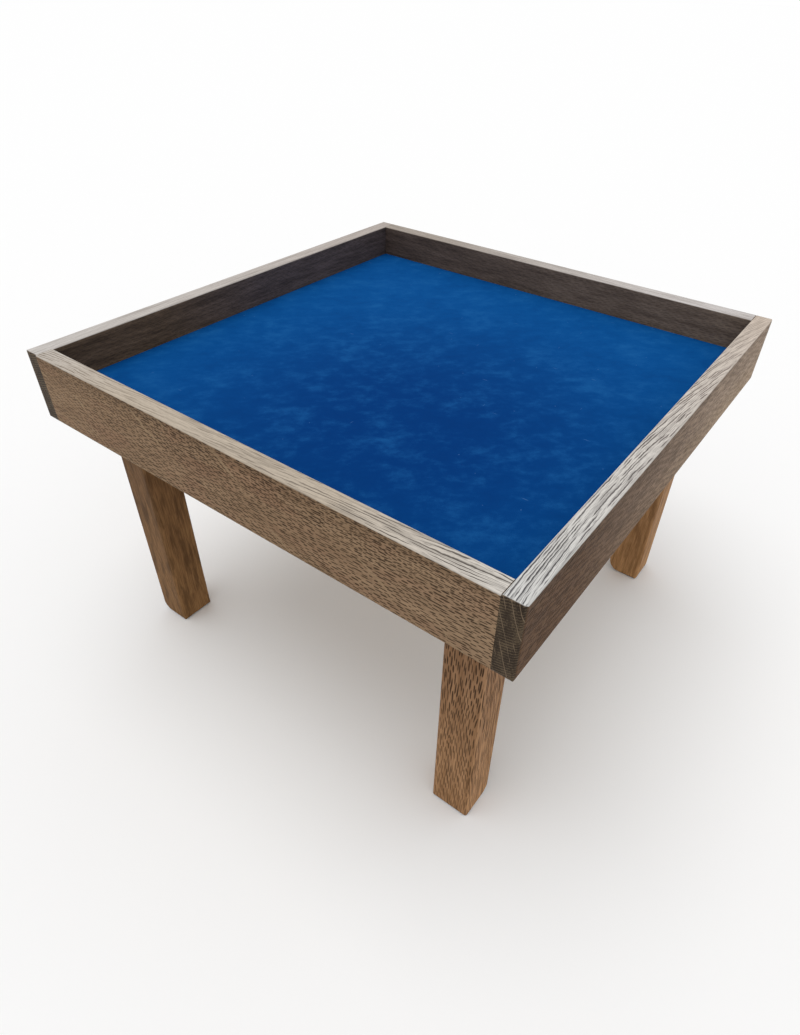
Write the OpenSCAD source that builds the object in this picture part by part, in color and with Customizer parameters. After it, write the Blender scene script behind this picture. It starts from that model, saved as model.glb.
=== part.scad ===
// Square dice tray of oak on four screw-in legs, in millimetres, +Z up.
// The origin is on the floor under the centre of the tray, and the front rail faces -Y.

/* [Frame] */
// Outside width and depth of the square tray
tray_w = 380; // [340:5:420]
// Thickness of the rails
rail_t = 12.5; // [11:0.5:16]
// Height of the rails
rail_h = 52; // [48:1:58]
// Rounding of the frame's upright corners
corner_r = 2.5; // [1:0.5:3.5]
// Easing of the rails' upper and inner edges
edge_r = 1.2; // [0.5:0.1:1.4]
// Rounding of the frame's outer lower edges
skirt_r = 4; // [3:0.5:5]

/* [Base] */
// Depth of the well, from the rim down to the velvet
well_depth = 25.5; // [22:0.5:26]
// Thickness of the velvet
velvet_t = 1; // [0.8:0.1:1.2]
// Thickness of the plywood panel
panel_t = 9; // [9:0.5:12]
// Width of the cleats under the panel
cleat_w = 9; // [8:0.5:12]
// Step from the cleats' underside down to the rails' lower edge
cleat_step = 2; // [1:0.5:3]

/* [Legs] */
// Height of the rim above the floor
stand_h = 250; // [200:5:300]
// Side of the square legs
leg_s = 29; // [26:0.5:32]
// Rounding of the legs' upright edges
leg_edge_r = 3; // [1.5:0.5:4]
// Radius of the one rolled lower edge of each leg
heel_r = 14; // [6:0.5:16]
// Easing of the other lower edges of each leg
foot_r = 2; // [0.8:0.1:2.5]
// Room between a turning leg's corner and the cleats
leg_gap = 1.2; // [0.6:0.1:2]

/* [Fasteners] */
// Thread diameter of the hanger bolts
thread_d = 8; // [8:1:8]
// Diameter of the bolts' wood thread
wood_thread_d = 7; // [6.5:0.1:7.2]
// Length of bolt inside the leg
bolt_in_leg = 36; // [30:1:45]
// Length of plain shank at the top of the leg
shank_len = 4; // [3:0.5:6]
// Diameter of the T-nut flanges
flange_d = 22; // [20:0.5:24]
// Thickness of the T-nut flanges
flange_t = 1.2; // [1:0.1:1.4]
// Outside diameter of the T-nut barrels
barrel_d = 10; // [9.8:0.1:10.4]
// Height of the T-nuts, flange included
t_nut_h = 8.5; // [8:0.1:8.8]
// Diameter of the dowels
dowel_d = 6; // [5:0.5:6.5]
// Depth of a dowel in the side rail
dowel_side = 8; // [6:0.5:9]
// Depth of a dowel in the end of the front or back rail
dowel_end = 18; // [14:1:24]
// Shank diameter of the wood screws
screw_d = 3; // [2.8:0.1:3.2]
// Head diameter of the wood screws
screw_head_d = 6; // [5.5:0.1:6.4]
// Depth of a cleat screw in the rail
rail_bite = 7; // [6:0.5:8]
// Depth of a panel screw in the panel
panel_bite = 5.5; // [5:0.5:6.5]

/* [Fits] */
// Radial clearance of dowels, T-nuts, screws and bolts in their holes
fit = 0.05; // [0.03:0.01:0.08]
// Gap between the covered panel and the rails, on each side
panel_gap = 0.1; // [0.05:0.05:0.3]

/* [Hidden] */
$fn = 48;
half_w = tray_w / 2;
well_half = half_w - rail_t;
rail_z = stand_h - rail_h;
rail_mid_z = stand_h - rail_h / 2;
velvet_top = stand_h - well_depth;
panel_top = velvet_top - velvet_t;
panel_z = panel_top - panel_t;
cleat_top = panel_z - velvet_t;
cleat_z = rail_z + cleat_step;
cleat_h = cleat_top - cleat_z;
velvet_half = well_half - panel_gap;
panel_half = velvet_half - velvet_t;
leg_len = panel_z;
leg_turn_r = leg_s / sqrt(2) - leg_edge_r * (sqrt(2) - 1);
leg_axis = half_w - rail_t - cleat_w - leg_turn_r - leg_gap;
bolt_r = thread_d / 2;
wood_r = wood_thread_d / 2;
bolt_up = panel_t - 0.5;
bolt_tip = 8;
nut_bore_r = bolt_r + fit;
prong_t = 1;
prong_w = 2.5;
prong_h = 5;
prong_at = 8;
screw_tip = 3;
recess_w = 0.9;
recess_l = 3.4;
recess_h = 1.1;
dowel_y = half_w - rail_t / 2;
dowel_zs = [rail_z + rail_h / 4, rail_z + rail_h * 3 / 4];
cleat_screw_at = [-tray_w * 0.29, 0, tray_w * 0.29];
panel_screw_at = [-tray_w * 0.16, tray_w * 0.16];
cleat_screw_len = cleat_w + rail_bite;
panel_screw_len = cleat_h + velvet_t + panel_bite;

// Rectangle about the origin with four rounded corners.
module rounded_rect(w, h, r) {
    square([w - 2 * r, h], center = true);
    square([w, h - 2 * r], center = true);
    for (sx = [-1, 1], sy = [-1, 1])
        translate([sx * (w / 2 - r), sy * (h / 2 - r)])
            circle(r);
}

// Board section about the origin: top corners of radius rt, lower corners of radius rl (left) and rr (right).
module board_section(w, h, rt, rl, rr) {
    translate([-w / 2 + rl, -h / 2])
        square([w - rl - rr, h / 2]);
    translate([-w / 2, -h / 2 + rl])
        square([w / 2, h - rl - rt]);
    translate([0, -h / 2 + rr])
        square([w / 2, h - rr - rt]);
    translate([-w / 2 + rt, 0])
        square([w - 2 * rt, h / 2]);
    translate([-w / 2 + rl, -h / 2 + rl])
        circle(rl);
    translate([w / 2 - rr, -h / 2 + rr])
        circle(rr);
    for (sx = [-1, 1])
        translate([sx * (w / 2 - rt), h / 2 - rt])
            circle(rt);
}

// Wood screw with its flat head at z = 0 and its tip at z = len; grow widens it to cut its hole.
module screw_body(len, grow) {
    rotate_extrude()
        polygon([[0, 0], [screw_head_d / 2 + grow, 0],
            [screw_d / 2 + grow, (screw_head_d - screw_d) / 2],
            [screw_d / 2 + grow, len - screw_tip + 6 * grow], [0, len + 6 * grow]]);
}

// Wood screw with a cross recess in its head.
module wood_screw(len) {
    difference() {
        screw_body(len, 0);
        translate([-recess_l / 2, -recess_w / 2, -1])
            cube([recess_l, recess_w, 1 + recess_h]);
        translate([-recess_w / 2, -recess_l / 2, -1])
            cube([recess_w, recess_l, 1 + recess_h]);
    }
}

// Places a screw through one cleat into its rail, pointing outwards, on the side turned by a degrees.
module at_cleat_screws(sides) {
    for (a = sides)
        rotate(a)
            for (x = cleat_screw_at)
                translate([x, -well_half + cleat_w, cleat_z + cleat_h / 2])
                    rotate([90, 0, 0])
                        children();
}

// Places a screw up through one cleat into the panel.
module at_panel_screws(sides) {
    for (a = sides)
        rotate(a)
            for (x = panel_screw_at)
                translate([x, -well_half + cleat_w / 2, cleat_z])
                    children();
}

// Places a dowel at two heights in each corner joint, pointing from the middle of the tray outwards.
module at_dowels() {
    for (sx = [-1, 1], sy = [-1, 1], z = dowel_zs)
        translate([sx * well_half, sy * dowel_y, z])
            rotate([0, sx * 90, 0])
                children();
}

// Dowel with chamfered ends; the joint face is at z = 0 and grow makes its hole.
module dowel_body(grow) {
    rotate_extrude()
        polygon([[0, -dowel_end - 10 * grow], [dowel_d / 2 - 0.5 + grow, -dowel_end - 10 * grow],
            [dowel_d / 2 + grow, -dowel_end + 0.5], [dowel_d / 2 + grow, dowel_side - 0.5],
            [dowel_d / 2 - 0.5 + grow, dowel_side + 10 * grow], [0, dowel_side + 10 * grow]]);
}

// Hanger bolt with the top of the leg at z = 0; grow makes its hole.
module bolt_body(grow) {
    rotate_extrude()
        polygon([[0, -bolt_in_leg - 10 * grow], [wood_r + grow, -bolt_in_leg + bolt_tip],
            [wood_r + grow, -shank_len], [bolt_r + grow, -shank_len], [bolt_r + grow, bolt_up - 0.8],
            [bolt_r - 0.8 + grow, bolt_up], [0, bolt_up]]);
}

// Side rail at +X before its holes: it runs the full depth and its outer corners are rounded.
module side_rail_blank() {
    intersection() {
        translate([half_w - rail_t, 0, rail_z - 1])
            linear_extrude(rail_h + 2)
                union() {
                    translate([-1, -half_w])
                        square([rail_t + 1 - corner_r, tray_w]);
                    translate([0, -half_w + corner_r])
                        square([rail_t, tray_w - 2 * corner_r]);
                    for (sy = [-1, 1])
                        translate([rail_t - corner_r, sy * (half_w - corner_r)])
                            circle(corner_r);
                }
        translate([half_w - rail_t / 2, 0, rail_mid_z])
            rotate([90, 0, 0])
                linear_extrude(tray_w + 2, center = true)
                    board_section(rail_t, rail_h, edge_r, edge_r, skirt_r);
        translate([half_w - rail_t / 2, 0, rail_mid_z])
            rotate([90, 0, 90])
                linear_extrude(rail_t + 2, center = true)
                    board_section(tray_w, rail_h, edge_r, skirt_r, skirt_r);
    }
}

module rail_right() {
    color([0.50, 0.40, 0.31])
        difference() {
            side_rail_blank();
            at_dowels()
                dowel_body(fit);
            at_cleat_screws([90])
                screw_body(cleat_screw_len, fit);
        }
}

module rail_left() {
    color([0.50, 0.40, 0.31])
        difference() {
            mirror([1, 0, 0])
                side_rail_blank();
            at_dowels()
                dowel_body(fit);
            at_cleat_screws([270])
                screw_body(cleat_screw_len, fit);
        }
}

// Front (side -1) or back (side 1) rail before its holes, butted between the side rails.
module end_rail_blank(side) {
    front_r = side < 0 ? skirt_r : edge_r;
    back_r = side < 0 ? edge_r : skirt_r;
    translate([0, side * (half_w - rail_t / 2), rail_mid_z])
        rotate([90, 0, 90])
            linear_extrude(2 * well_half, center = true)
                board_section(rail_t, rail_h, edge_r, front_r, back_r);
}

module rail_front() {
    color([0.52, 0.41, 0.31])
        difference() {
            end_rail_blank(-1);
            at_dowels()
                dowel_body(fit);
            at_cleat_screws([0])
                screw_body(cleat_screw_len, fit);
        }
}

module rail_back() {
    color([0.52, 0.41, 0.31])
        difference() {
            end_rail_blank(1);
            at_dowels()
                dowel_body(fit);
            at_cleat_screws([180])
                screw_body(cleat_screw_len, fit);
        }
}

// Cleat along the side turned by a degrees, with its screw holes.
module cleat(a, half_len) {
    difference() {
        rotate(a)
            translate([-half_len, -well_half, cleat_z])
                cube([2 * half_len, cleat_w, cleat_h]);
        at_cleat_screws([a])
            screw_body(cleat_screw_len, fit);
        at_panel_screws([a])
            screw_body(panel_screw_len, fit);
    }
}

module cleat_front() {
    color([0.78, 0.66, 0.50])
        cleat(0, well_half);
}

module cleat_back() {
    color([0.78, 0.66, 0.50])
        cleat(180, well_half);
}

module cleat_left() {
    color([0.78, 0.66, 0.50])
        cleat(270, well_half - cleat_w);
}

module cleat_right() {
    color([0.78, 0.66, 0.50])
        cleat(90, well_half - cleat_w);
}

// Plywood panel with a recess, a hole and four slits for each T-nut.
module base_panel() {
    color([0.80, 0.68, 0.50])
        difference() {
            translate([-panel_half, -panel_half, panel_z])
                cube([2 * panel_half, 2 * panel_half, panel_t]);
            for (sx = [-1, 1], sy = [-1, 1])
                translate([sx * leg_axis, sy * leg_axis, panel_top]) {
                    translate([0, 0, -flange_t])
                        cylinder(h = flange_t + 1, d = flange_d + 2 * fit);
                    translate([0, 0, -panel_t - 1])
                        cylinder(h = panel_t + 2, d = barrel_d + 2 * fit);
                    for (a = [45 : 90 : 315])
                        rotate(a)
                            translate([prong_at - fit, -prong_w / 2 - fit, -flange_t - prong_h - fit])
                                cube([prong_t + 2 * fit, prong_w + 2 * fit, prong_h + flange_t]);
                }
            at_panel_screws([0 : 90 : 270])
                screw_body(panel_screw_len, fit);
        }
}

// Velvet over the panel, down its edges and under it as far as the cleats reach.
module velvet_lining() {
    color([0.04, 0.27, 0.53])
        difference() {
            translate([-velvet_half, -velvet_half, cleat_top])
                cube([2 * velvet_half, 2 * velvet_half, velvet_top - cleat_top]);
            translate([-panel_half, -panel_half, panel_z])
                cube([2 * panel_half, 2 * panel_half, panel_t]);
            translate([-well_half + cleat_w, -well_half + cleat_w, cleat_top - 1])
                cube([2 * (well_half - cleat_w), 2 * (well_half - cleat_w), panel_t]);
            at_panel_screws([0 : 90 : 270])
                screw_body(panel_screw_len, fit);
        }
}

// T-nuts set flush in the top of the panel, over the legs.
module t_nuts() {
    color([0.72, 0.72, 0.70])
        for (sx = [-1, 1], sy = [-1, 1])
            translate([sx * leg_axis, sy * leg_axis, panel_top]) {
                rotate_extrude()
                    polygon([[nut_bore_r, -t_nut_h], [barrel_d / 2, -t_nut_h],
                        [barrel_d / 2, -flange_t], [flange_d / 2, -flange_t],
                        [flange_d / 2, 0], [nut_bore_r, 0]]);
                for (a = [45 : 90 : 315])
                    rotate(a)
                        translate([prong_at, -prong_w / 2, -flange_t - prong_h])
                            cube([prong_t, prong_w, prong_h + flange_t / 2]);
            }
}

module corner_dowels() {
    color([0.85, 0.72, 0.52])
        at_dowels()
            dowel_body(0);
}

module cleat_screws() {
    color([0.75, 0.72, 0.62])
        at_cleat_screws([0 : 90 : 270])
            wood_screw(cleat_screw_len);
}

module panel_screws() {
    color([0.75, 0.72, 0.62])
        at_panel_screws([0 : 90 : 270])
            wood_screw(panel_screw_len);
}

module hanger_bolt(sx, sy) {
    color([0.70, 0.70, 0.68])
        translate([sx * leg_axis, sy * leg_axis, leg_len])
            bolt_body(0);
}

module hanger_bolt_front_left() {
    hanger_bolt(-1, -1);
}

module hanger_bolt_front_right() {
    hanger_bolt(1, -1);
}

module hanger_bolt_back_left() {
    hanger_bolt(-1, 1);
}

module hanger_bolt_back_right() {
    hanger_bolt(1, 1);
}

// Leg about its own axis, standing on z = 0, with the rolled lower edge on its -X side.
module leg_blank() {
    intersection() {
        translate([0, 0, -1])
            linear_extrude(leg_len + 1)
                rounded_rect(leg_s, leg_s, leg_edge_r);
        rotate([90, 0, 0])
            linear_extrude(leg_s + 2, center = true)
                union() {
                    translate([-leg_s / 2, heel_r])
                        square([leg_s, leg_len]);
                    translate([-leg_s / 2 + heel_r, 0])
                        square([leg_s - heel_r - foot_r, heel_r + 1]);
                    translate([0, foot_r])
                        square([leg_s / 2, heel_r]);
                    translate([-leg_s / 2 + heel_r, heel_r])
                        circle(heel_r);
                    translate([leg_s / 2 - foot_r, foot_r])
                        circle(foot_r);
                }
        rotate([90, 0, 90])
            linear_extrude(leg_s + 2, center = true)
                union() {
                    translate([-leg_s / 2, foot_r])
                        square([leg_s, leg_len]);
                    translate([-leg_s / 2 + foot_r, 0])
                        square([leg_s - 2 * foot_r, foot_r + 1]);
                    for (s = [-1, 1])
                        translate([s * (leg_s / 2 - foot_r), foot_r])
                            circle(foot_r);
                }
    }
}

// Leg in its corner, turned so that its rolled edge faces the way the bolt leaves it.
module leg(sx, sy, turned) {
    color([0.54, 0.40, 0.27])
        translate([sx * leg_axis, sy * leg_axis, 0])
            difference() {
                rotate(turned)
                    leg_blank();
                translate([0, 0, leg_len])
                    bolt_body(fit);
            }
}

module leg_front_left() {
    leg(-1, -1, 0);
}

module leg_front_right() {
    leg(1, -1, -90);
}

module leg_back_left() {
    leg(-1, 1, 180);
}

module leg_back_right() {
    leg(1, 1, 0);
}

rail_front();
rail_back();
rail_left();
rail_right();
cleat_front();
cleat_back();
cleat_left();
cleat_right();
base_panel();
velvet_lining();
t_nuts();
corner_dowels();
cleat_screws();
panel_screws();
hanger_bolt_front_left();
hanger_bolt_front_right();
hanger_bolt_back_left();
hanger_bolt_back_right();
leg_front_left();
leg_front_right();
leg_back_left();
leg_back_right();
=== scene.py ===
"""Looks of the dice tray: open-pored oak, royal blue velvet, pine and plywood inside, plated fixings."""
import math

import bmesh
import bpy
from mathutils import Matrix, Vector


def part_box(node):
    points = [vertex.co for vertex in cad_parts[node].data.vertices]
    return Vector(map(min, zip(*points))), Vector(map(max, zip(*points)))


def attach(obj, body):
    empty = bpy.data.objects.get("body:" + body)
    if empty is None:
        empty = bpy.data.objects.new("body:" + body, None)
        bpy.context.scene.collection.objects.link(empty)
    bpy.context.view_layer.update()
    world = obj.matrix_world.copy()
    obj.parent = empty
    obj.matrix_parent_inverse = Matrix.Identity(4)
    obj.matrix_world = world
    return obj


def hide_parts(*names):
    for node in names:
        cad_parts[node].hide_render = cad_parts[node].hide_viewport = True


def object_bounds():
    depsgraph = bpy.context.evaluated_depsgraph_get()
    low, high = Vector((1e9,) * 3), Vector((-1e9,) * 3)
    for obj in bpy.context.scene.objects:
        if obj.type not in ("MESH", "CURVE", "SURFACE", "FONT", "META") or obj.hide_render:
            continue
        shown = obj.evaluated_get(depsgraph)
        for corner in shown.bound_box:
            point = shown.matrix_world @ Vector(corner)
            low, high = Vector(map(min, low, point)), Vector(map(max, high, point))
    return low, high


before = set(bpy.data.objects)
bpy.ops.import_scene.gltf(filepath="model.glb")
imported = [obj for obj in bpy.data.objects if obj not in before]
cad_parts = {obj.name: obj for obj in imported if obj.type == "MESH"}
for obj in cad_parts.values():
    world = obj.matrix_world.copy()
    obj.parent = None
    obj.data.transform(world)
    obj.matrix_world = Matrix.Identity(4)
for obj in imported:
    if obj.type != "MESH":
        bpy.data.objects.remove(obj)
cad_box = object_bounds()
scene = bpy.context.scene
MM = 0.001
X, Y, Z = 0, 1, 2


def srgb(*levels):
    """Linear colour of an 8-bit screen colour."""
    shares = (level / 255 for level in levels)
    return tuple(c / 12.92 if c <= 0.04045 else ((c + 0.055) / 1.055) ** 2.4 for c in shares)


# Materials

class Shader:
    """A material with one Principled shader, and short names for the nodes that feed it."""

    def __init__(self, name):
        self.mat = bpy.data.materials.new(name)
        self.mat.use_nodes = True
        self.tree = self.mat.node_tree
        self.tree.nodes.clear()
        out = self.tree.nodes.new("ShaderNodeOutputMaterial")
        self.bsdf = self.tree.nodes.new("ShaderNodeBsdfPrincipled")
        self.tree.links.new(self.bsdf.outputs[0], out.inputs[0])
        coords = self.node("TexCoord")
        scaled = self.node("VectorMath", coords.outputs["Object"], operation="SCALE")
        scaled.inputs["Scale"].default_value = 1 / MM
        self.point = scaled.outputs[0]
        self.place = list(self.node("SeparateXYZ", self.point).outputs)
        self.facing = list(self.node("SeparateXYZ", coords.outputs["Normal"]).outputs)

    def put(self, socket, value):
        """Links a socket, or sets its value."""
        if isinstance(value, bpy.types.NodeSocket):
            self.tree.links.new(value, socket)
        elif socket.type == "RGBA":
            socket.default_value = (*value, 1)
        else:
            socket.default_value = value

    def node(self, kind, *values, **props):
        """Adds a node, with its properties and its first inputs set."""
        made = self.tree.nodes.new("ShaderNode" + kind)
        for key, value in props.items():
            setattr(made, key, value)
        for socket, value in zip(made.inputs, values):
            self.put(socket, value)
        return made

    def math(self, op, *values):
        return self.node("Math", *values, operation=op).outputs[0]

    def add(self, a, b):
        return self.math("ADD", a, b)

    def sub(self, a, b):
        return self.math("SUBTRACT", a, b)

    def mul(self, a, b):
        return self.math("MULTIPLY", a, b)

    def most(self, a, b):
        return self.math("MAXIMUM", a, b)

    def size(self, a):
        return self.math("ABSOLUTE", a)

    def step(self, x, low, high, to0=0.0, to1=1.0):
        """Smooth change from to0 at low to to1 at high."""
        return self.node("MapRange", x, low, high, to0, to1, interpolation_type="SMOOTHSTEP").outputs[0]

    def span(self, x, low, high, to0=0.0, to1=1.0):
        """Straight change from to0 at low to to1 at high."""
        return self.node("MapRange", x, low, high, to0, to1).outputs[0]

    def plane(self, u, v, du, dv):
        """Flat texture place: u and v in cells of du by dv millimetres."""
        return self.node("CombineXYZ", self.mul(u, 1 / du), self.mul(v, 1 / dv), 0.0).outputs[0]

    def cells(self, across):
        """Solid texture place in cells of the given millimetres."""
        return self.node("VectorMath", self.point, (1 / across,) * 3, operation="MULTIPLY").outputs[0]

    def noise(self, vector, detail=2.0, rough=0.5, warp=0.0, dims="2D"):
        """Noise from 0 to 1 at a texture place."""
        made = self.node("TexNoise", noise_dimensions=dims)
        settings = {"Vector": vector, "Scale": 1.0, "Detail": detail, "Roughness": rough, "Distortion": warp}
        for key, value in settings.items():
            self.put(made.inputs[key], value)
        return made.outputs["Fac"]

    def chance(self, a, b):
        """Three random numbers from 0 to 1 for a pair of whole numbers."""
        spot = self.node("CombineXYZ", a, b, 0.0).outputs[0]
        made = self.node("TexWhiteNoise", spot, noise_dimensions="2D")
        return list(self.node("SeparateColor", made.outputs["Color"]).outputs)

    def spindles(self, u, v, pitch, mark, share):
        """Scattered lens-shaped marks along u, 1 inside and 0 between.

        pitch is the spacing and mark the size, along u and across it (mm).
        A share of the places hold a mark.
        """
        spot = self.plane(u, v, *pitch)
        made = self.node("TexVoronoi", voronoi_dimensions="2D")
        for key, value in (("Vector", spot), ("Scale", 1.0), ("Randomness", 0.5)):
            self.put(made.inputs[key], value)
        pick, vary, _ = self.node("SeparateColor", made.outputs["Color"]).outputs
        away = self.node("VectorMath", spot, made.outputs["Position"], operation="SUBTRACT").outputs[0]
        du, dv, _ = self.node("SeparateXYZ", away).outputs
        du = self.mul(du, 2 * pitch[0] / mark[0])
        dv = self.mul(self.size(dv), 2 * pitch[1] / mark[1])
        reach = self.span(vary, 0.0, 1.0, 0.7, 1.2)
        held = self.math("GREATER_THAN", pick, 1 - share)
        inside = self.step(self.add(self.mul(du, du), dv), self.add(reach, 0.2), self.sub(reach, 0.35))
        return self.mul(inside, held)

    def mix(self, fac, a, b, blend="MIX"):
        """Blends colour b into colour a."""
        made = self.node("Mix", data_type="RGBA", blend_type=blend)
        for socket, value in ((made.inputs[0], fac), (made.inputs[6], a), (made.inputs[7], b)):
            self.put(socket, value)
        return made.outputs[2]

    def bump(self, height, strength, distance):
        """Bends the shading by a height pattern whose full step is distance metres high."""
        made = self.node("Bump")
        for key, value in (("Strength", strength), ("Distance", distance), ("Height", height)):
            self.put(made.inputs[key], value)
        self.put(self.bsdf.inputs["Normal"], made.outputs[0])

    def set(self, **values):
        """Sets inputs of the Principled shader by their names, with _ for a space."""
        for key, value in values.items():
            self.put(self.bsdf.inputs[key.replace("_", " ")], value)


class Oak(Shader):
    """Open-pored oak. The grain runs along one axis, and each long face has its own flat pattern.

    rows gives the pores' pitch, width and length (mm), and how many times longer they are on the turned
    faces. lean is how far the grain climbs across the board for each millimetre along it.
    """

    # Distance between the patterns of two neighbouring faces (mm)
    FACE_SHIFT = 57.0
    # Share of a pore's length by which each row is shifted from the row before
    STAGGER = 0.382
    # How far the soft edge of a mark reaches outwards and inwards (mm)
    EDGE_OUT, EDGE_IN = 0.15, 0.12
    # Length of the bold and the fine lines on the planed edges (mm)
    BOLD_LENGTH, FINE_LENGTH = 28, 12

    def __init__(self, name, grain, seed, light, dark, pore, rows=(1.45, 0.88, 7.5, 1.0), lean=0.0):
        super().__init__(name)
        self.grain = grain
        self.along = self.add(self.place[grain], seed)
        a, b = (i for i in (X, Y, Z) if i != grain)
        self.turned = self.math("GREATER_THAN", self.size(self.facing[a]), self.size(self.facing[b]))
        shifted = self.add(self.place[a], self.FACE_SHIFT)
        self.flat = self.span(self.turned, 0.0, 1.0, shifted, self.place[b])
        sway = self.patches(130, 36)
        ripple = self.patches(26, 8)
        wave = self.add(self.mul(sway, 7), self.mul(ripple, 1.4))
        self.across = self.add(self.add(self.flat, self.mul(self.along, lean)), wave)
        depth = self.span(self.patches(34, 11, 3, 0.55), 0.3, 0.55, 0.85, 1.0)
        self.holes = self.mul(self.pores(*rows), depth)
        self.fibre = self.streaks(16, 0.5, 2, 0.6)
        self.tone = self.streaks(60, 5, 3, 0.6)
        shade = self.add(self.mul(self.fibre, 0.5), self.mul(self.tone, 0.6))
        self.colour = self.mix(self.span(shade, 0.35, 0.75), dark, light)
        self.pore = self.mix(self.span(self.patches(20, 6), 0.3, 0.7, 0.0, 0.15), pore, dark)
        # Rounded edges turn lighter: partly wear, partly a painted highlight
        flatness = self.most(self.size(self.facing[Y]), self.size(self.facing[Z]))
        flatness = self.most(self.size(self.facing[X]), flatness)
        worn_and_highlit = self.step(flatness, 0.97, 0.8, 0.0, 0.12)
        self.colour = self.mix(worn_and_highlit, self.colour, light)

    def patches(self, length, width, *settings):
        """Noise in patches of length by width millimetres that lie straight along the board."""
        return self.noise(self.plane(self.along, self.flat, length, width), *settings)

    def streaks(self, length, width, *settings):
        """Noise in streaks of length by width millimetres that follow the grain's bends."""
        return self.noise(self.plane(self.along, self.across, length, width), *settings)

    def stroke(self, away, half):
        """Soft-edged mark of a given half width, from the distance to its middle line."""
        return self.step(away, self.add(half, self.EDGE_OUT), self.sub(half, self.EDGE_IN))

    def pores(self, pitch, width, length, longer):
        """Lens-shaped pores in rows along the grain, staggered from row to row.

        They are up to width wide and length long (mm), and longer by a factor on the turned faces.
        """
        count = self.mul(self.across, 1 / pitch)
        row = self.math("FLOOR", count)
        rate = self.span(self.turned, 0.0, 1.0, 1 / length, 1 / length / longer)
        slip = self.mul(self.patches(4 * length, 6 * pitch), 2.0)
        start = self.span(self.chance(row, 0.0)[0], 0.0, 1.0, 0.0, 0.3)
        run = self.add(self.add(self.mul(self.along, rate), slip), self.mul(row, self.STAGGER))
        run = self.add(run, start)
        reach, nudge, thick = self.chance(self.math("FLOOR", run), row)
        du = self.sub(self.math("FRACT", run), 0.5)
        du = self.math("DIVIDE", du, self.span(reach, 0.0, 1.0, 0.22, 0.5))
        taper = self.sub(1.0, self.mul(du, du))
        widest = self.span(thick, 0.0, 1.0, 0.3 * width, 0.5 * width)
        half = self.span(taper, 0.0, 0.75, -self.EDGE_OUT, widest)
        off = self.add(self.sub(self.math("FRACT", count), 0.5), self.span(nudge, 0.0, 1.0, -0.2, 0.2))
        return self.stroke(self.mul(self.size(off), pitch), half)

    def flecks(self, amount):
        """Short fine pores between the long ones."""
        marks = self.spindles(self.along, self.across, (3.0, 1.1), (2.4, 0.5), 0.75)
        self.holes = self.most(self.holes, self.mul(marks, amount))

    def clouds(self, length, width, amount, colour):
        """Soft drifts of another colour along the grain."""
        cloud = self.patches(length, width, 3, 0.6, 0.1)
        self.colour = self.mix(self.step(cloud, 0.45, 0.68, 0.0, amount), self.colour, colour)

    def rays(self, slant, amount, colour):
        """Pale medullary rays that cross the grain at a slant (degrees)."""
        c, s = math.cos(math.radians(slant)), math.sin(math.radians(slant))
        bent = self.add(self.flat, self.mul(self.patches(30, 16), 12))
        u = self.sub(self.mul(self.along, c), self.mul(bent, s))
        v = self.add(self.mul(self.along, s), self.mul(bent, c))
        ray = self.mul(self.spindles(u, v, (52, 20), (30, 2.4), 0.35), amount)
        self.colour = self.mix(ray, self.colour, colour)
        self.holes = self.mul(self.holes, self.sub(1.0, ray))

    def band(self, axis, start, stop, amount, colour):
        """Blends a colour in from place start to place stop along an axis."""
        self.colour = self.mix(self.step(self.place[axis], start, stop, 0.0, amount), self.colour, colour)

    def shade_along(self, axis, start, stop, near, far):
        """Painted shade: multiplies the colour by near up to place start and by far from place stop."""
        tone = self.mix(self.span(self.place[axis], start, stop), near, far)
        self.colour = self.mix(1.0, self.colour, tone, "MULTIPLY")
        self.pore = self.mix(1.0, self.pore, tone, "MULTIPLY")

    def lift(self, axis, factor):
        """Painted light: multiplies the colour by a factor on the faces that look along an axis, either way.
        """
        share = self.step(self.size(self.facing[axis]), 0.6, 0.8, 1.0, factor)
        tint = self.node("CombineXYZ", share, share, share).outputs[0]
        self.colour = self.mix(1.0, self.colour, tint, "MULTIPLY")

    def soften(self, axis, start, stop, near, far):
        """Weakens the pores to the share near up to place start and far from place stop."""
        self.holes = self.mul(self.holes, self.span(self.place[axis], start, stop, near, far))

    def cover(self, where, colour, holes, pore):
        """Lays a colour over part of the surface, with its own share of the pores."""
        self.colour = self.mix(where, self.colour, colour)
        self.holes = self.mul(self.holes, self.sub(1.0, self.mul(where, 1 - holes)))
        self.pore = self.mix(where, self.pore, pore)

    def grain_lines(self, across, pitch, width, length):
        """Rows of thin lines along the grain, each broken off by itself after about the given length."""
        count = self.mul(across, 1 / pitch)
        row = self.math("FLOOR", count)
        away = self.mul(self.size(self.sub(self.math("FRACT", count), 0.5)), pitch)
        swell = self.noise(self.plane(self.along, row, length, 0.13), 2, 0.5)
        return self.stroke(away, self.span(swell, 0.4, 0.56, -self.EDGE_OUT, width / 2))

    def top_edge(self, base, line, lines, pitch=1.9, width=0.6, lean=0.0, bow=0.0, sway=3.0):
        """Planed upper edge: streaky wood made pale by a painted highlight, with long dark grain lines of a
        given strength.

        The lines lean across the board by lean, and by bow more for each millimetre along it.
        """
        up = self.step(self.facing[Z], 0.1, 0.5)
        level = self.step(self.facing[Z], 0.9, 0.995)
        run = self.place[self.grain]
        slant = self.mul(run, self.add(self.mul(run, bow), lean))
        bend = self.patches(60, 12, 2, 0.4)
        shake = self.patches(6, 3)
        wave = self.add(self.mul(bend, sway), self.mul(shake, 0.9))
        slid = self.add(self.flat, self.add(slant, wave))
        bold = self.grain_lines(slid, pitch, width, self.BOLD_LENGTH)
        fine = self.grain_lines(self.add(slid, 0.37), pitch * 0.53, width * 0.5, self.FINE_LENGTH)
        marks = self.mul(self.most(bold, self.mul(fine, 0.5)), self.mul(level, lines))
        streak = self.noise(self.plane(self.along, slid, 50, 1.6), 2, 0.6)
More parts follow.
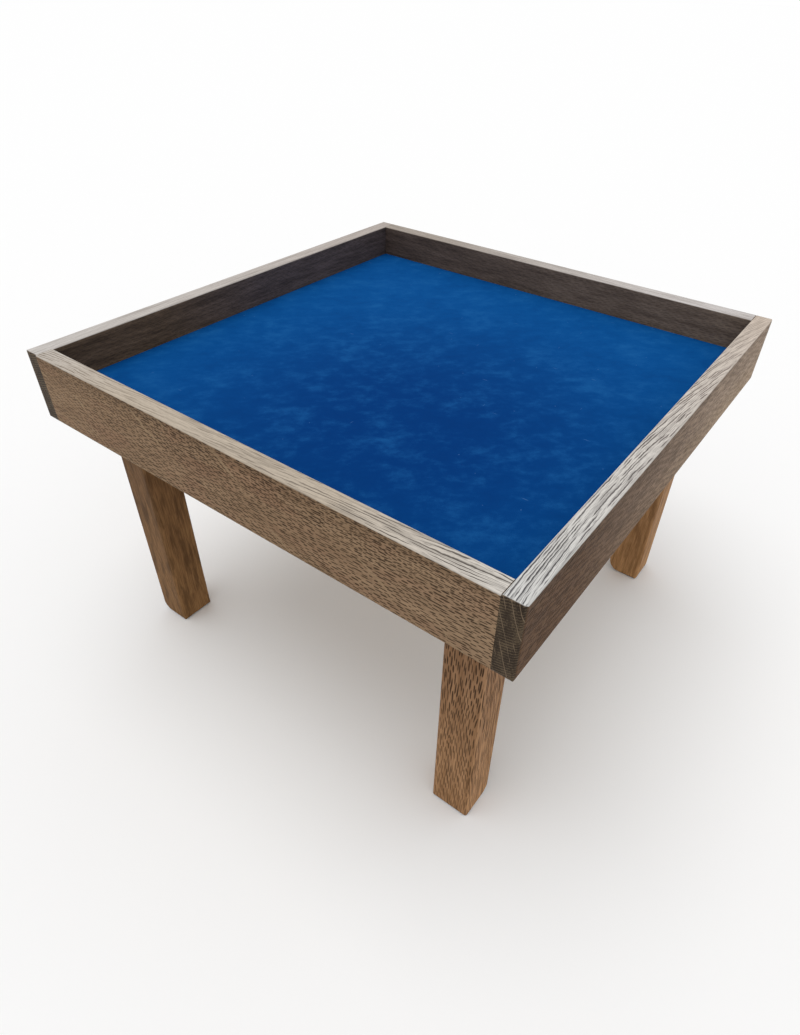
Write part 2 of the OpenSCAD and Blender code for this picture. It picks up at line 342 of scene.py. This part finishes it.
        # The pale base colour is a painted highlight; the streaks and lines are grain
        pale = self.mix(self.step(streak, 0.42, 0.75, 0.0, 0.4), base, line)
        self.cover(up, self.mix(marks, pale, line), 0.1, line)

    def inside(self, axis, sign, light, dark, pore):
        """Darker face towards the well."""
        face = self.step(self.mul(self.facing[axis], sign), 0.75, 0.98)
        shade = self.add(self.mul(self.tone, 0.5), self.mul(self.streaks(24, 2.2, 3, 0.6), 0.5))
        self.cover(face, self.mix(self.span(shade, 0.35, 0.65), dark, light), 0.4, pore)

    def end_grain(self, dark, light, ray, pitch=1.7, ray_pitch=3.9):
        """Cut ends: rows of pores across the board, crossed by thin pale slanting rays."""
        ends = self.step(self.size(self.facing[self.grain]), 0.25, 0.65)
        side, height = (self.place[i] for i in (X, Y, Z) if i != self.grain)
        bend = self.noise(self.plane(side, height, 12, 18))
        level = self.sub(self.add(height, self.mul(bend, 1.6)), self.mul(side, 0.3))
        rows = self.math("COSINE", self.mul(level, 2 * math.pi / pitch))
        crumbs = self.noise(self.plane(side, height, 0.9, 0.5), 2)
        fade = self.step(self.noise(self.plane(side, height, 9, 16)), 0.3, 0.65, 0.08, 0.26)
        blotch = self.span(self.noise(self.plane(side, height, 6, 11), 2), 0.25, 0.75, -0.22, 0.22)
        wood = self.add(self.add(self.mul(rows, fade), crumbs), blotch)
        wood = self.mix(self.step(wood, 0.3, 0.9), dark, light)
        fan = self.add(side, self.add(self.mul(height, 0.32), self.mul(bend, 1.2)))
        thin = self.size(self.sub(self.math("FRACT", self.mul(fan, 1 / ray_pitch)), 0.5))
        broken = self.step(self.noise(self.plane(fan, height, ray_pitch, 20)), 0.42, 0.55)
        wood = self.mix(self.mul(self.step(thin, 0.055, 0.015), broken), wood, ray)
        self.cover(ends, wood, 0.0, dark)

    def done(self):
        """Open pores and a satin finish."""
        colour = self.mix(self.mul(self.holes, 0.9), self.colour, self.pore)
        rough = self.add(self.span(self.fibre, 0.2, 0.8, 0.54, 0.68), self.mul(self.holes, 0.15))
        self.set(Base_Color=colour, Roughness=rough, Specular_IOR_Level=0.13)
        self.bump(self.sub(self.mul(self.fibre, 0.35), self.holes), 0.5, 0.0003)
        return self.mat


def plain_wood(name, grain, light, dark, across=1.2, along=40, ply=0.0):
    """Close-grained wood for cleats, plywood and dowels, with veins of along by across millimetres.

    ply is the thickness of the layers that show at the edges of plywood (mm), and 0 on solid wood.
    """
    s = Shader(name)
    u = s.place[grain]
    v, w = (s.place[i] for i in (X, Y, Z) if i != grain)
    flat = s.add(v, w)
    bend = s.mul(s.noise(s.plane(u, flat, 160, 60)), 14)
    veins = s.noise(s.plane(u, s.add(flat, bend), along, across), 3, 0.6)
    blotch = s.noise(s.plane(u, flat, 60, 30), 3)
    colour = s.mix(s.span(s.add(s.mul(veins, 0.75), s.mul(blotch, 0.45)), 0.38, 0.85), dark, light)
    if ply:
        edge = s.step(s.size(s.facing[Z]), 0.6, 0.3)
        layers = s.step(s.math("PINGPONG", s.place[Z], ply), 0.5, 0.8)
        colour = s.mix(s.mul(edge, layers), colour, tuple(c * 0.45 for c in dark))
    s.set(Base_Color=colour, Roughness=s.span(veins, 0.2, 0.8, 0.72, 0.55), Specular_IOR_Level=0.3)
    s.bump(veins, 0.3, 0.0002)
    return s.mat


def zinc(name, light, dark):
    """Plated steel with faint blotches and a fine grain."""
    s = Shader(name)
    blotch, fine = (s.noise(s.cells(across), 4, 0.6, 0, "3D") for across in (2.9, 0.33))
    rough = s.span(s.add(s.mul(blotch, 0.6), s.mul(fine, 0.4)), 0.3, 0.7, 0.26, 0.46)
    s.set(Base_Color=s.mix(s.span(blotch, 0.3, 0.7), dark, light), Metallic=1.0, Roughness=rough)
    s.bump(fine, 0.12, 0.00008)
    return s.mat


def velvet_material(name):
    """Short-pile velvet: brushed nap, drifting tone, painted shade and sheen that lighten away from one
    spot, a little lint and a soft sheen.
    """
    s = Shader(name)
    x, y = s.place[X], s.place[Y]
    nap = s.noise(s.plane(x, y, 46, 38), 5, 0.65, 0.1)
    brush = s.noise(s.plane(s.add(x, y), s.sub(x, y), 22, 14), 5, 0.68, 0.1)
    pile = s.noise(s.plane(x, y, 0.6, 0.6), 2, 0.7)
    # Painted shade and sheen: the tone is darkest around one spot and lightens away from it
    dark_x, dark_y = 40.0, -80.0
    off_x, off_y = s.sub(x, dark_x), s.sub(y, dark_y)
    away = s.math("SQRT", s.add(s.mul(off_x, off_x), s.mul(off_y, off_y)))
    base = s.mix(s.step(away, 30.0, 245.0), srgb(3, 55, 118), srgb(7, 77, 143))
    lie = s.add(s.mul(nap, 0.4), s.add(s.mul(brush, 0.46), s.mul(pile, 0.14)))
    base = s.mix(s.step(lie, 0.5, 0.34, 0.0, 0.2), base, srgb(3, 46, 104))
    base = s.mix(s.step(lie, 0.46, 0.7, 0.0, 0.46), base, srgb(30, 100, 164))
    along_x = s.spindles(x, y, (31, 27), (4.5, 0.5), 0.12)
    along_y = s.spindles(y, x, (37, 29), (3.5, 0.45), 0.1)
    hairs = s.most(along_x, along_y)
    specks = s.spindles(x, y, (19, 23), (0.9, 0.9), 0.15)
    base = s.mix(s.mul(s.most(hairs, specks), 0.35), base, srgb(90, 136, 186))
    s.set(Base_Color=base, Roughness=0.95, Specular_IOR_Level=0.03)
    s.set(Sheen_Weight=0.1, Sheen_Roughness=0.4, Sheen_Tint=srgb(40, 100, 200))
    s.bump(s.add(s.mul(pile, 0.5), nap), 0.4, 0.0006)
    return s.mat


# Velvet: one cloth drawn over the panel, down its edges and back under it

def in_mm(node):
    """Lowest and highest corner of a CAD node, in millimetres."""
    return tuple(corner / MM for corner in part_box(node))


def build_velvet(thick=1.0, bend=1.0, cells=118, dip=0.18, calm=12):
    """Closed two-layer cloth with its corners cut out.

    thick is its thickness, bend its outer radius over the panel's edges, dip the depth of its unevenness
    and calm the distance over which that fades out at the walls (mm). cells counts its grid between the
    bends. Returns the cloth, the length of its flat side, and how much of that lies between the bends.
    """
    low, high = in_mm("velvet_lining")
    half, top, under = high.x, high.z, low.z
    back = in_mm("cleat_right")[0].x
    flat_half = half - bend
    arc = bend * math.pi / 2
    side = top - under - bend
    lap = half - back

    def across(t, layer):
        """Place outwards and height at distance t from the middle of the cloth; layer 0 is the pile."""
        a, sign = abs(t), math.copysign(1, t)
        inset = thick * layer
        if a <= flat_half:
            return sign * a, top - inset
        a -= flat_half
        if a <= arc:
            r = bend - inset
            return sign * (flat_half + r * math.sin(a / bend)), top - bend + r * math.cos(a / bend)
        a -= arc
        if a <= side:
            return sign * (half - inset), max(top - bend - a, under + inset)
        return sign * max(half - inset - (a - side), back), under + inset

    def dent(s, t):
        """Slight unevenness of the pile, none at the walls."""
        edge = min(1.0, (flat_half - max(abs(s), abs(t))) / calm)
        # Two crossing waves that bend each other
        roll = math.sin(s / 17 + 1.7 * math.sin(t / 23)) * math.cos(t / 19 + 1.1 * math.sin(s / 29))
        return edge * dip * (0.5 + 0.5 * roll)

    inner = [-flat_half + 2 * flat_half * i / cells for i in range(cells + 1)]
    outer = []
    start = flat_half
    for length, steps in ((arc, 4), (side, 3), (lap, 3)):
        outer += [start + length * i / steps for i in range(1, steps + 1)]
        start += length
    line = [-t for t in reversed(outer)] + inner + outer
    n = len(line)
    past = [not len(outer) <= i < n - len(outer) for i in range(n)]
    bm = bmesh.new()
    verts = {}
    for layer in (0, 1):
        for i, s in enumerate(line):
            for j, t in enumerate(line):
                if past[i] and past[j]:
                    continue
                x, zx = across(s, layer)
                y, zy = across(t, layer)
                z = min(zx, zy)
                if layer == 0 and not past[i] and not past[j]:
                    z -= dent(s, t)
                verts[layer, i, j] = bm.verts.new((x * MM, y * MM, z * MM))
    for layer in (0, 1):
        for i in range(n - 1):
            for j in range(n - 1):
                keys = [(layer, i, j), (layer, i + 1, j), (layer, i + 1, j + 1), (layer, i, j + 1)]
                if all(k in verts for k in keys):
                    bm.faces.new([verts[k] for k in keys])
    key = {v: k for k, v in verts.items()}
    for edge in [e for e in bm.edges if e.is_boundary]:
        (layer, ia, ja), (_, ib, jb) = (key[v] for v in edge.verts)
        if layer == 0:
            bm.faces.new([*edge.verts, verts[1, ib, jb], verts[1, ia, ja]])
    bmesh.ops.recalc_face_normals(bm, faces=bm.faces)
    mesh = bpy.data.meshes.new("velvet")
    bm.to_mesh(mesh)
    bm.free()
    mesh.shade_smooth()
    cloth = bpy.data.objects.new("velvet", mesh)
    scene.collection.objects.link(cloth)
    return cloth, 2 * (flat_half + arc + side + lap) * MM, 2 * flat_half * MM


velvet, velvet_flat, velvet_top = build_velvet()
velvet.data.materials.append(velvet_material("velvet"))
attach(velvet, "tray")
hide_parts("velvet_lining")

# Finishes of the CAD nodes

# Half the tray's width, and the heights of the rim and of the rails' lower edge (mm)
HALF = cad_box[1][X] / MM
RIM = cad_box[1][Z] / MM
SKIRT = in_mm("rail_front")[0].z
# Light, dark and pore colour of the darker insides
INSIDE_TONES = (srgb(100, 85, 76), srgb(68, 57, 51), srgb(44, 36, 32))
# Dark, light and ray colour of the cut ends
END = (srgb(49, 38, 28), srgb(103, 88, 69), srgb(142, 122, 100))
# Painted highlight along the rails' rounded lower edges
LOWER_EDGE_HIGHLIGHT = srgb(152, 126, 90)


def along_board(oak, axis, near, far, start=-HALF, stop=HALF):
    """Colour that changes from near, at place start on an axis, to far at place stop."""
    return oak.mix(oak.span(oak.place[axis], start, stop), near, far)


def front_rail():
    """Oak with many pores and slanting rays, and a planed edge whose painted highlight is palest at both
    ends.
    """
    o = Oak("oak_front", X, 0.0, srgb(172, 142, 111), srgb(132, 105, 78), srgb(36, 21, 10))
    o.clouds(50, 16, 0.4, srgb(146, 109, 84))
    o.band(X, 40, HALF, 0.3, srgb(188, 160, 130))
    o.flecks(o.step(o.place[Z], RIM - 30, RIM - 12, 0.3, 0.85))
    o.soften(X, -HALF, -40, 0.6, 1.0)
    o.rays(33, 0.7, srgb(170, 144, 112))
    # Painted highlight along the lower edge
    o.band(Z, SKIRT + 6, SKIRT + 1, 0.5, LOWER_EDGE_HIGHLIGHT)
    # Darker strip just below the rim: painted shade under the rounded top edge
    o.band(Z, RIM - 9, RIM - 1, 0.4, srgb(100, 77, 52))
    # Top face: painted highlight, palest at both ends
    top = along_board(o, X, srgb(195, 188, 180), srgb(190, 177, 160), -HALF, -90)
    top = o.mix(o.span(o.place[X], 80, HALF), top, srgb(213, 208, 201))
    line = along_board(o, X, srgb(116, 100, 84), srgb(92, 87, 82))
    strong = o.most(o.span(o.place[X], -150, -60, 0.85, 0.45), o.span(o.place[X], -60, 120, 0.45, 1.0))
    o.top_edge(top, line, strong, lean=-0.06, sway=5.0)
    o.inside(Y, 1, *INSIDE_TONES)
    return o.done()


def even_oak(name, grain, seed, slant):
    """Oak of the back and the left rail: an even tone, with rays at a slant (degrees)."""
    o = Oak(name, grain, seed, srgb(160, 131, 101), srgb(126, 98, 71), srgb(62, 41, 24))
    o.flecks(0.4)
    o.clouds(50, 16, 0.35, srgb(144, 108, 84))
    o.rays(slant, 0.4, srgb(168, 141, 110))
    # Painted highlight along the lower edge
    o.band(Z, SKIRT + 6, SKIRT + 1, 0.45, LOWER_EDGE_HIGHLIGHT)
    return o


def back_rail():
    """Even oak whose planed edge and inside get lighter to the right, as painted light."""
    o = even_oak("oak_back", X, 911.0, 35)
    # Painted light: the top face and the inside lighten towards the right end
    top = along_board(o, X, srgb(166, 156, 146), srgb(206, 201, 198), -120, 120)
    o.top_edge(top, srgb(112, 100, 92), 0.4)
    o.inside(Y, -1, along_board(o, X, INSIDE_TONES[0], srgb(140, 122, 104)),
             along_board(o, X, INSIDE_TONES[1], srgb(104, 88, 74)), INSIDE_TONES[2])
    return o.done()


def left_rail():
    """Even oak whose inside is warmer at the front and cooler at the back."""
    o = even_oak("oak_left", Y, 377.0, 40)
    # Top face: painted highlight, palest at the front
    o.top_edge(along_board(o, Y, srgb(202, 197, 192), srgb(180, 170, 163)), srgb(118, 106, 98), 0.3)
    o.inside(X, 1, along_board(o, Y, srgb(114, 94, 74), srgb(100, 89, 87), -90, 10),
             along_board(o, Y, srgb(77, 62, 47), srgb(68, 60, 58), -90, 10), INSIDE_TONES[2])
    o.end_grain(*END)
    return o.done()


def right_rail():
    """Greyer oak with slanting grain, darkened towards the front by painted shade."""
    o = Oak("oak_right", Y, 1533.0, srgb(199, 176, 155), srgb(149, 127, 108), srgb(48, 34, 21),
            rows=(1.6, 0.85, 9.0, 1.0), lean=-0.18)
    o.flecks(0.4)
    o.clouds(36, 8, 0.5, srgb(126, 104, 82))
    o.rays(-30, 0.3, srgb(192, 168, 146))
    # Painted highlight: the outer face lightens towards its lower edge
    o.band(Z, SKIRT + 34, SKIRT + 6, 0.3, srgb(203, 174, 140))
    # Painted shade: darker towards the front corner
    o.shade_along(Y, -135, 110, srgb(148, 124, 98), srgb(254, 253, 251))
    o.soften(Y, -HALF, HALF, 1.0, 0.65)
    # Darker strip just below the rim: painted shade under the rounded top edge
    o.band(Z, RIM - 10, RIM - 2, 0.3, srgb(92, 74, 58))
    # Top face: painted highlight, palest and greyest at the front
    top = along_board(o, Y, srgb(212, 211, 208), srgb(204, 189, 174))
    line = along_board(o, Y, srgb(80, 78, 80), srgb(108, 92, 82))
    strong = o.span(o.place[Y], 40, HALF, 1.0, 0.45)
    o.top_edge(top, line, strong, pitch=1.4, lean=-0.085, bow=-0.00043)
    o.inside(X, -1, *INSIDE_TONES)
    o.end_grain(*END)
    return o.done()


def leg(name, seed, light, dark, pore, cloud, foot, head, side, rise=130):
    """Leg whose pores have the strength foot at its lower end and head from the height rise (mm) up.

    cloud is the strength of its dark drifts, and side how many times lighter painted light makes its left
    and right faces.
    """
    o = Oak(name, Z, seed, light, dark, pore, rows=(1.3, 0.92, 15.0, 2.0))
    o.clouds(75, 1.7, 0.4, dark)
    o.clouds(30, 5, cloud, pore)
    o.soften(Z, 0, rise, foot, head)
    # Painted shade: darker towards the top, under the tray
    o.shade_along(Z, 0, 200, srgb(255, 255, 250), srgb(212, 212, 218))
    # Painted light on the left and right faces
    o.lift(X, side)
    o.end_grain(*END)
    return o.done()


# side gives the painted light on each leg's left and right faces
LEG_LOOKS = {
    "front_left": dict(seed=77.0, light=srgb(170, 128, 86), dark=srgb(124, 90, 56),
                       pore=srgb(70, 45, 22), cloud=0.55, foot=0.3, head=0.4, side=1.1),
    "front_right": dict(seed=508.0, light=srgb(205, 158, 116), dark=srgb(152, 110, 72),
                        pore=srgb(42, 23, 9), cloud=0.1, foot=0.6, head=1.0, side=1.22),
    "back_left": dict(seed=939.0, light=srgb(188, 143, 97), dark=srgb(142, 103, 64),
                      pore=srgb(74, 46, 22), cloud=0.3, foot=0.4, head=0.8, side=1.1),
    "back_right": dict(seed=1370.0, light=srgb(212, 163, 115), dark=srgb(158, 115, 75),
                       pore=srgb(92, 60, 32), cloud=0.4, foot=0.2, head=0.3, side=1.15),
}
pine_x = plain_wood("pine_x", X, srgb(214, 184, 142), srgb(178, 142, 98))
pine_y = plain_wood("pine_y", Y, srgb(212, 182, 140), srgb(176, 140, 96))
bright = zinc("bright_zinc", srgb(196, 198, 200), srgb(160, 163, 168))
yellow = zinc("yellow_zinc", srgb(208, 188, 128), srgb(170, 146, 88))
looks = {
    "rail_front": front_rail(),
    "rail_back": back_rail(),
    "rail_left": left_rail(),
    "rail_right": right_rail(),
    "cleat_front": pine_x,
    "cleat_back": pine_x,
    "cleat_left": pine_y,
    "cleat_right": pine_y,
    "base_panel": plain_wood("birch_ply", X, srgb(220, 194, 152), srgb(190, 158, 114),
                             across=3.0, along=90, ply=1.3),
    "corner_dowels": plain_wood("beech", X, srgb(222, 190, 144), srgb(190, 154, 108),
                                across=0.8, along=20),
    "t_nuts": bright,
    "cleat_screws": yellow,
    "panel_screws": yellow,
}
for corner, look in LEG_LOOKS.items():
    looks["leg_" + corner] = leg("oak_leg_" + corner, **look)
    looks["hanger_bolt_" + corner] = bright
for node, look in looks.items():
    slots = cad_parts[node].data.materials
    slots.clear()
    slots.append(look)

# Stage, light and camera

# Size of the floor (m), its colour where it lights the tray, and its colour where it is seen
FLOOR_SIZE = 30
FLOOR_LIT = (0.5, 0.5, 0.5)
FLOOR_SEEN = (0.95, 0.95, 0.95)
bpy.ops.mesh.primitive_plane_add(size=FLOOR_SIZE)
floor = bpy.context.object
floor.name = "floor"
floor_look = Shader("floor")
path = floor_look.node("LightPath").outputs
mirrored = floor_look.most(path["Is Glossy Ray"], path["Is Transmission Ray"])
seen = floor_look.most(path["Is Camera Ray"], mirrored)
floor_look.set(Base_Color=floor_look.mix(seen, FLOOR_LIT, FLOOR_SEEN))
floor_look.set(Roughness=0.9, Specular_IOR_Level=0.0)
floor.data.materials.append(floor_look.mat)

# Strength of the sky where it lights the tray, and where it is seen
SKY_FILL = 0.7
SKY_SEEN = 1.0
world = bpy.data.worlds.new("studio")
world.use_nodes = True
scene.world = world
sky = world.node_tree
background = sky.nodes["Background"]
background.inputs["Color"].default_value = (1, 1, 1, 1)
strength = sky.nodes.new("ShaderNodeMix")
strength.inputs["A"].default_value = SKY_FILL
strength.inputs["B"].default_value = SKY_SEEN
sky_path = sky.nodes.new("ShaderNodeLightPath").outputs
sky_seen = sky_path["Is Camera Ray"]
for ray in ("Is Glossy Ray", "Is Transmission Ray"):
    either = sky.nodes.new("ShaderNodeMath")
    either.operation = "MAXIMUM"
    sky.links.new(sky_seen, either.inputs[0])
    sky.links.new(sky_path[ray], either.inputs[1])
    sky_seen = either.outputs[0]
sky.links.new(sky_seen, strength.inputs["Factor"])
sky.links.new(strength.outputs[0], background.inputs["Strength"])

# Direction that the key light comes from, and its spread (degrees)
KEY_FROM = Vector((-0.12, -0.08, 1))
KEY_SPREAD = 50
key_light = bpy.data.lights.new("key", "SUN")
key_light.energy = 1.1
key_light.angle = math.radians(KEY_SPREAD)
key = bpy.data.objects.new("key", key_light)
scene.collection.objects.link(key)
key.rotation_mode = "QUATERNION"
key.rotation_quaternion = KEY_FROM.to_track_quat("Z", "Y")

# Place of the camera (m) and its turn around X, Y and Z (degrees)
CAMERA_PLACE = (0.26507, -0.37599, 0.45506)
CAMERA_TURN = (50.4363, -1.2463, 36.6887)
view = bpy.data.cameras.new("camera")
view.sensor_width = 36
view.lens = 23.69
view.shift_x = -0.01383
view.shift_y = 0.00469
view.clip_start = 0.01
camera = bpy.data.objects.new("camera", view)
scene.collection.objects.link(camera)
camera.location = CAMERA_PLACE
camera.rotation_euler = [math.radians(turn) for turn in CAMERA_TURN]
scene.camera = camera
scene.view_settings.view_transform = "Standard"
